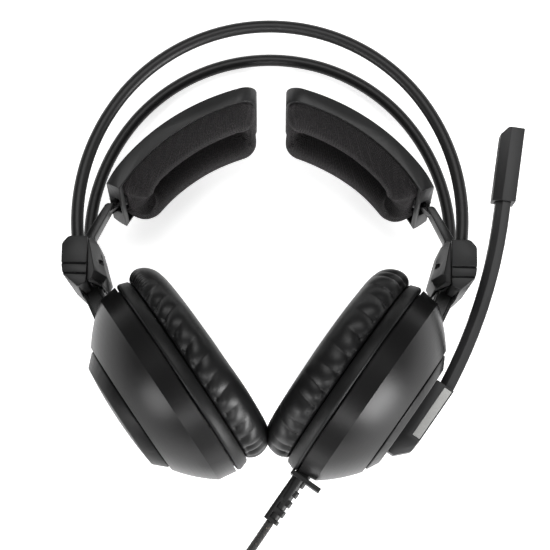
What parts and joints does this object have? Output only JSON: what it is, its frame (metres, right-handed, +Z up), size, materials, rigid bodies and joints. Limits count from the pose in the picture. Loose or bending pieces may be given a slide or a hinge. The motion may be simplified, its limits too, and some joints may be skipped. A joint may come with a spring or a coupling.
{
  "type": "gaming headset",
  "caption": "Over-ear headset with twin bows, self-adjusting wing pads, tilting round cups, a turning boom microphone and a braided cord with a plug, laid on its back.",
  "frame": {"origin": "middle of the laid headset's footprint, on the table, without its cord", "axes": "+Z up from the table, front of the headset upwards; +Y towards the crown; +X towards the cup with the microphone"},
  "size_m": [0.2078, 0.3546, 0.0994],
  "materials": {
    "bow": "satin black",
    "bracket": "fine matte charcoal",
    "yoke": "satin black",
    "arm": "satin charcoal",
    "pad_shell": "satin charcoal",
    "mesh_cloth": "black air mesh",
    "cup_shell": "satin gunmetal paint",
    "cup_cap": "satin gunmetal paint",
    "baffle": "satin black",
    "inner_plastic": "matte black",
    "leatherette": "soft black leatherette",
    "steel": "dark zinc plated",
    "mic_body": "matte charcoal",
    "mic_trim": "ribbed silver",
    "mic_grille": "matte charcoal",
    "rubber": "matte black",
    "braid": "black braid with a few lighter threads",
    "plug_body": "matte black",
    "plug_metal": "polished gold plating"
  },
  "bodies": {
    "frame": {"front_bow": "bow", "rear_bow": "bow", "bracket_screws": "steel", "left_bracket_outer": "bracket", "left_bracket_inner": "bracket", "left_yoke": "yoke", "left_yoke_pin": "steel", "left_arm_pin": "steel", "right_bracket_outer": "bracket", "right_bracket_inner": "bracket", "right_yoke": "yoke", "right_yoke_pin": "steel", "right_arm_pin": "steel"},
    "left_arm": {"left_arm": "arm", "left_pad_pin": "steel"},
    "left_pad": {"left_pad_shell": "pad_shell", "left_pad_cushion": "mesh_cloth"},
    "left_cup": {"left_cup_shell": "cup_shell", "left_cup_cap": "cup_cap", "left_baffle": "baffle", "left_driver_basket": "inner_plastic", "left_driver_magnet": "steel", "left_driver_cone": "inner_plastic", "left_driver_guard": "inner_plastic", "left_ear_cushion": "leatherette", "left_cup_screws": "steel"},
    "right_arm": {"right_arm": "arm", "right_pad_pin": "steel"},
    "right_pad": {"right_pad_shell": "pad_shell", "right_pad_cushion": "mesh_cloth"},
    "right_cup": {"right_cup_shell": "cup_shell", "right_cup_cap": "cup_cap", "right_baffle": "baffle", "right_driver_basket": "inner_plastic", "right_driver_magnet": "steel", "right_driver_cone": "inner_plastic", "right_driver_guard": "inner_plastic", "right_ear_cushion": "leatherette", "right_cup_screws": "steel", "strain_relief": "rubber", "cord_lead": "braid", "cord_coil": "braid", "cord_tail": "braid", "plug_handle": "plug_body", "plug_contacts": "plug_metal", "plug_insulators": "rubber"},
    "microphone": {"mic_base": "mic_body", "mic_trim": "mic_trim", "mic_clip": "steel", "mic_boom": "mic_body", "mic_head": "mic_body", "mic_grille": "mic_grille", "mic_capsule": "mic_trim"}
  },
  "joints": [
    {"name": "left_cup_tilt", "type": "hinge", "parent": "frame", "child": "left_cup", "pos_m": [-0.08526, -0.02601, 0.0466], "axis": [0, -0.1489, -0.9888], "range_deg": [0, 10]},
    {"name": "left_arm_swing", "type": "hinge", "parent": "frame", "child": "left_arm", "pos_m": [-0.09601, 0.00637, 0.04172], "axis": [0, 0.1489, 0.9888], "range_deg": [0, 9]},
    {"name": "left_pad_pitch", "type": "hinge", "parent": "left_arm", "child": "left_pad", "pos_m": [-0.08221, 0.03406, 0.03755], "axis": [1, 0, 0], "range_deg": [0, 24]},
    {"name": "right_cup_tilt", "type": "hinge", "parent": "frame", "child": "right_cup", "pos_m": [0.05924, -0.02601, 0.0466], "axis": [0, 0.1489, 0.9888], "range_deg": [0, 10]},
    {"name": "right_arm_swing", "type": "hinge", "parent": "frame", "child": "right_arm", "pos_m": [0.06999, 0.00637, 0.04172], "axis": [0, -0.1489, -0.9888], "range_deg": [0, 9]},
    {"name": "right_pad_pitch", "type": "hinge", "parent": "right_arm", "child": "right_pad", "pos_m": [0.05619, 0.03406, 0.03755], "axis": [1, 0, 0], "range_deg": [0, 24]},
    {"name": "mic_turn", "type": "hinge", "parent": "right_cup", "child": "microphone", "pos_m": [0.05136, -0.06467, 0.05242], "axis": [0.8231, -0.5615, 0.0846], "range_deg": [0, 120]}
  ]
}
